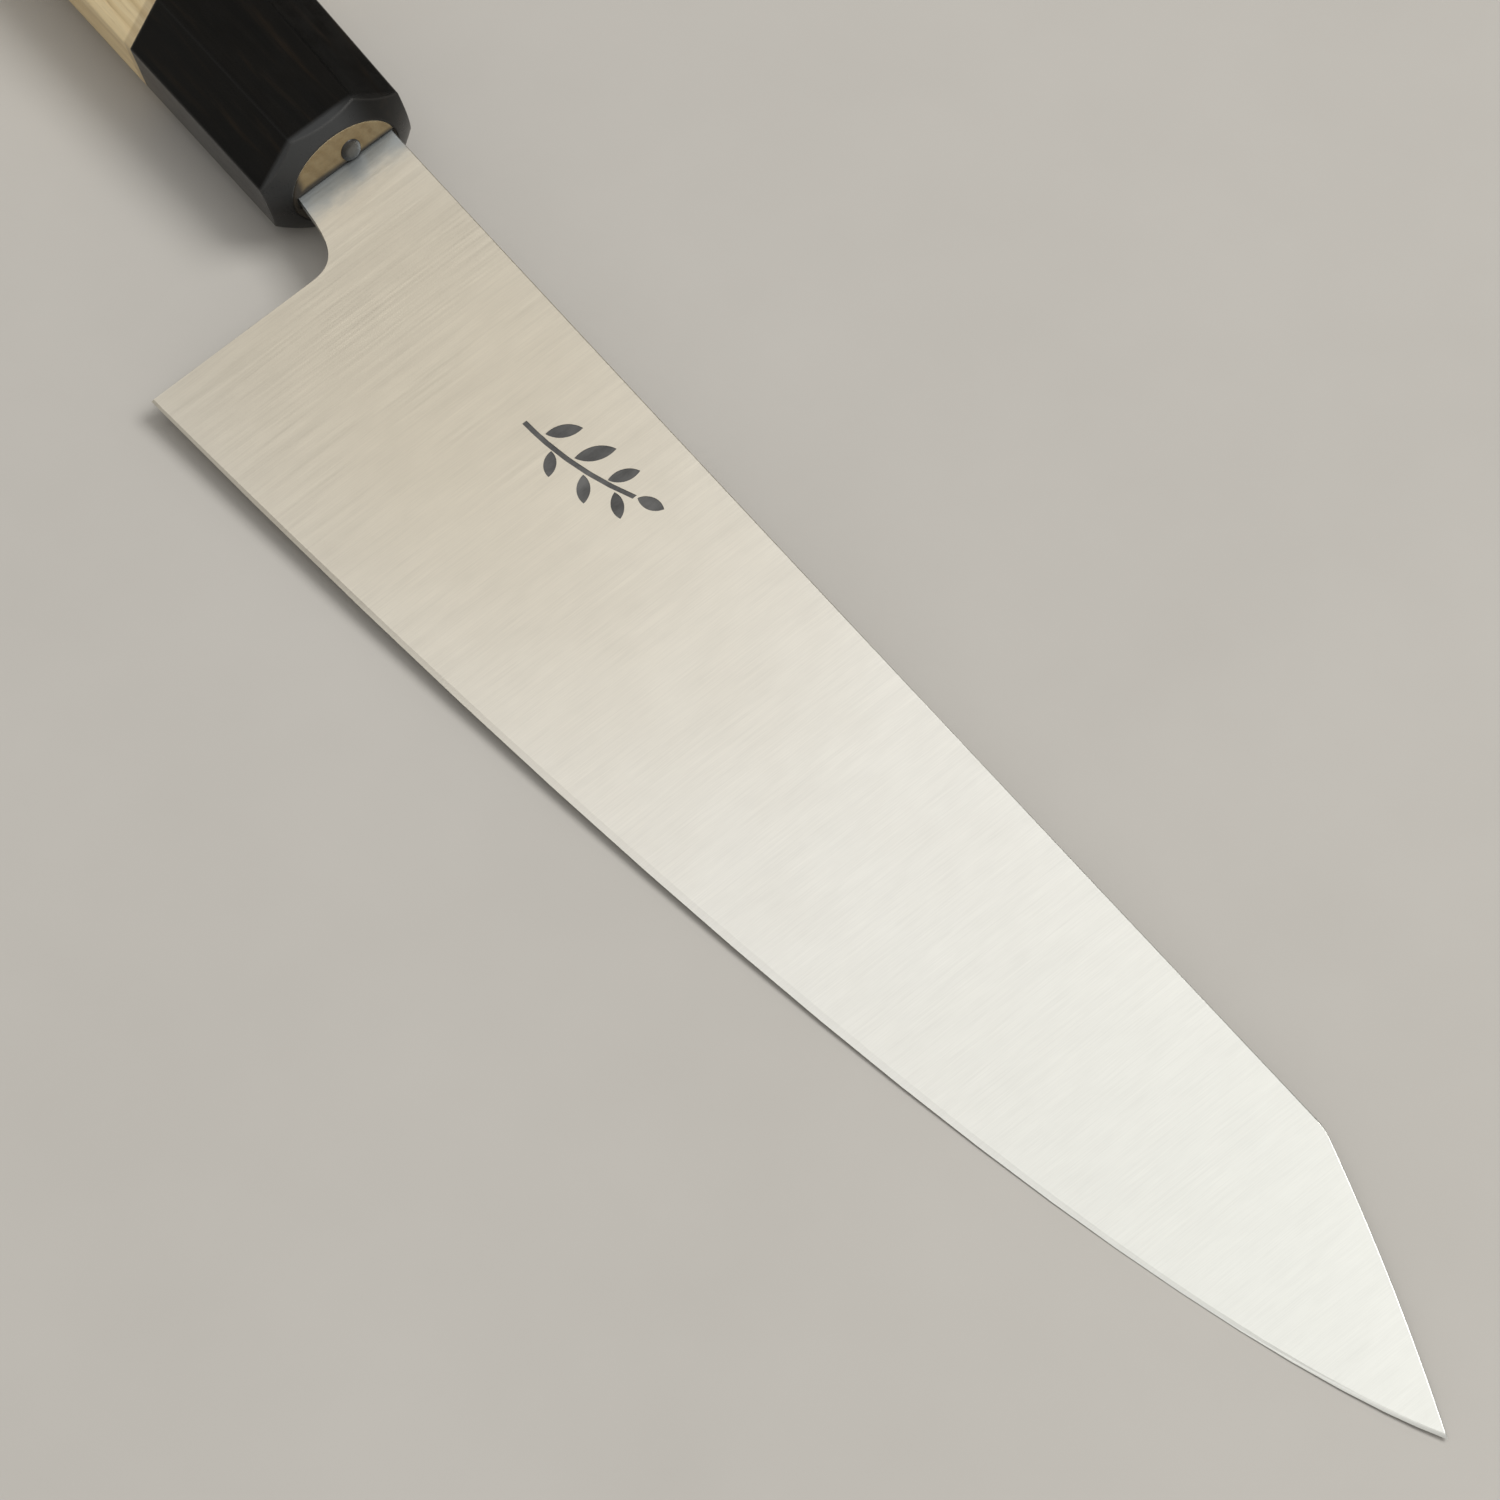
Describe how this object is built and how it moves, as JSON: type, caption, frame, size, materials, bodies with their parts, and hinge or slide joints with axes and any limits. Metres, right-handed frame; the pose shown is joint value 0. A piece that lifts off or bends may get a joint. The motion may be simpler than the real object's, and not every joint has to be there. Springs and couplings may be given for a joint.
{
  "type": "chef knife",
  "caption": "Chef knife with a tall flat-ground blade, clipped point, engraved leaf sprig, dark octagonal ferrule and pale octagonal wooden handle.",
  "frame": {"origin": "middle of the bounding box in length and in height of the blade, level with the underside of the handle; the knife lies on its left side", "axes": "+X along the handle toward the point, +Y toward the spine, +Z out of the right face of the blade"},
  "size_m": [0.3572, 0.0528, 0.0219],
  "materials": {
    "blade_steel": "satin ground, fine lines from spine to edge",
    "pale_wood": "bare, fine straight grain",
    "dark_horn": "satin polish",
    "glue": "clear amber",
    "resin": "dark grey, glossy"
  },
  "bodies": {
    "root": {"blade": "blade_steel", "handle_wood": "pale_wood", "ferrule": "dark_horn", "ferrule_glue": "glue", "tang_resin": "resin"}
  },
  "joints": []
}
